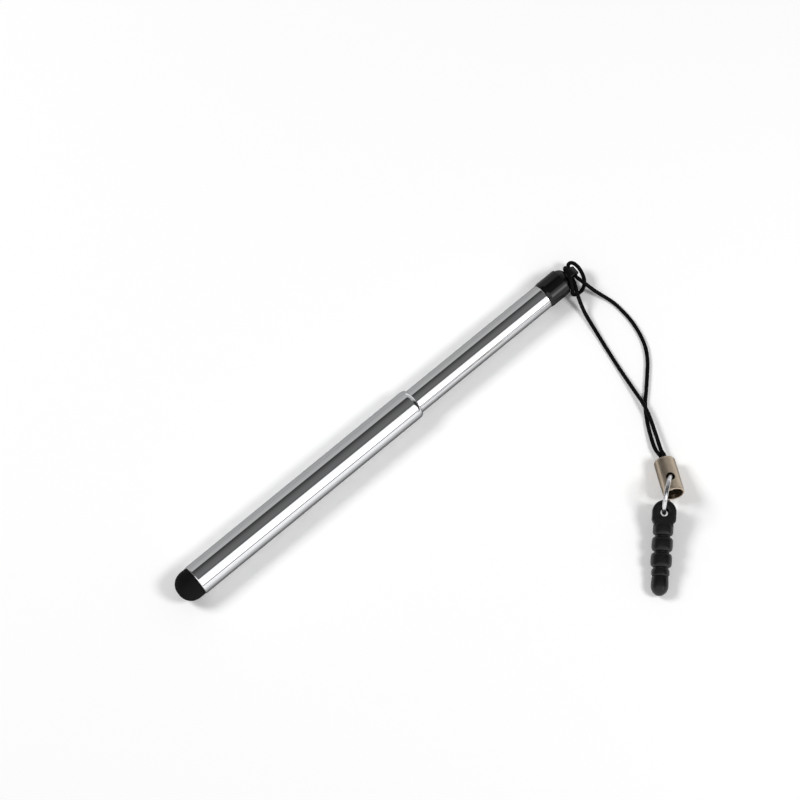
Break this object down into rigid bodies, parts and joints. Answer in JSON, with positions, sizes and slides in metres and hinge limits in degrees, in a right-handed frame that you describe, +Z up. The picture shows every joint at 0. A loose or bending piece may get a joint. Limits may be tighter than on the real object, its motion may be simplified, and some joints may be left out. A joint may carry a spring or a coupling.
{
  "type": "retractable stylus pen",
  "caption": "Slim telescoping touch-screen stylus with a soft dome tip, a chrome barrel that slides over a thinner tube, and a wrist cord carrying a headphone-jack dust plug.",
  "frame": {"origin": "on the table under the middle of the drawn-out pen's length, on its axis", "axes": "+X along the pen from its soft tip towards the cord lug, +Z up, +Y to the side away from the cord"},
  "size_m": [0.0976, 0.0594, 0.0077],
  "materials": {
    "polished_chrome": "mirror-polished plate on drawn tube",
    "tip_rubber": "matte conductive silicone rubber",
    "turned_brass": "turned",
    "spring_bronze": "rolled spring strip",
    "black_abs": "moulded, satin",
    "nylon_cord": "braided",
    "satin_nickel": "satin nickel plate on brass",
    "bright_steel_wire": "bright drawn wire",
    "plug_rubber": "matte moulded silicone rubber"
  },
  "bodies": {
    "rear_section": {"inner_barrel": "polished_chrome", "stop_bush": "turned_brass", "rear_cap": "black_abs", "strap_cord": "nylon_cord", "cord_ferrule": "satin_nickel", "cord_end_knot": "nylon_cord"},
    "friction_shells": {"friction_shell_upper": "spring_bronze", "friction_shell_lower": "spring_bronze"},
    "front_barrel": {"outer_barrel": "polished_chrome", "stylus_tip": "tip_rubber", "tip_holder": "turned_brass"},
    "jump_ring": {"jump_ring": "bright_steel_wire"},
    "dust_plug": {"dust_plug": "plug_rubber"}
  },
  "joints": [
    {"name": "barrel_twist", "type": "hinge", "parent": "rear_section", "child": "friction_shells", "pos_m": [0, 0, 0.00299], "axis": [1, 0, 0], "continuous": true},
    {"name": "barrel_slide", "type": "slide", "parent": "friction_shells", "child": "front_barrel", "axis": [1, 0, 0], "range_m": [0, 0.0316]},
    {"name": "ring_swing", "type": "hinge", "parent": "rear_section", "child": "jump_ring", "pos_m": [0.03328, -0.04182, 0.00323], "axis": [0, 0, 1], "range_deg": [-20, 20]},
    {"name": "plug_swing", "type": "hinge", "parent": "jump_ring", "child": "dust_plug", "pos_m": [0.02848, -0.04542, 0.00332], "axis": [-0.0924, -0.0918, 0.9915], "range_deg": [-75, 75]}
  ]
}
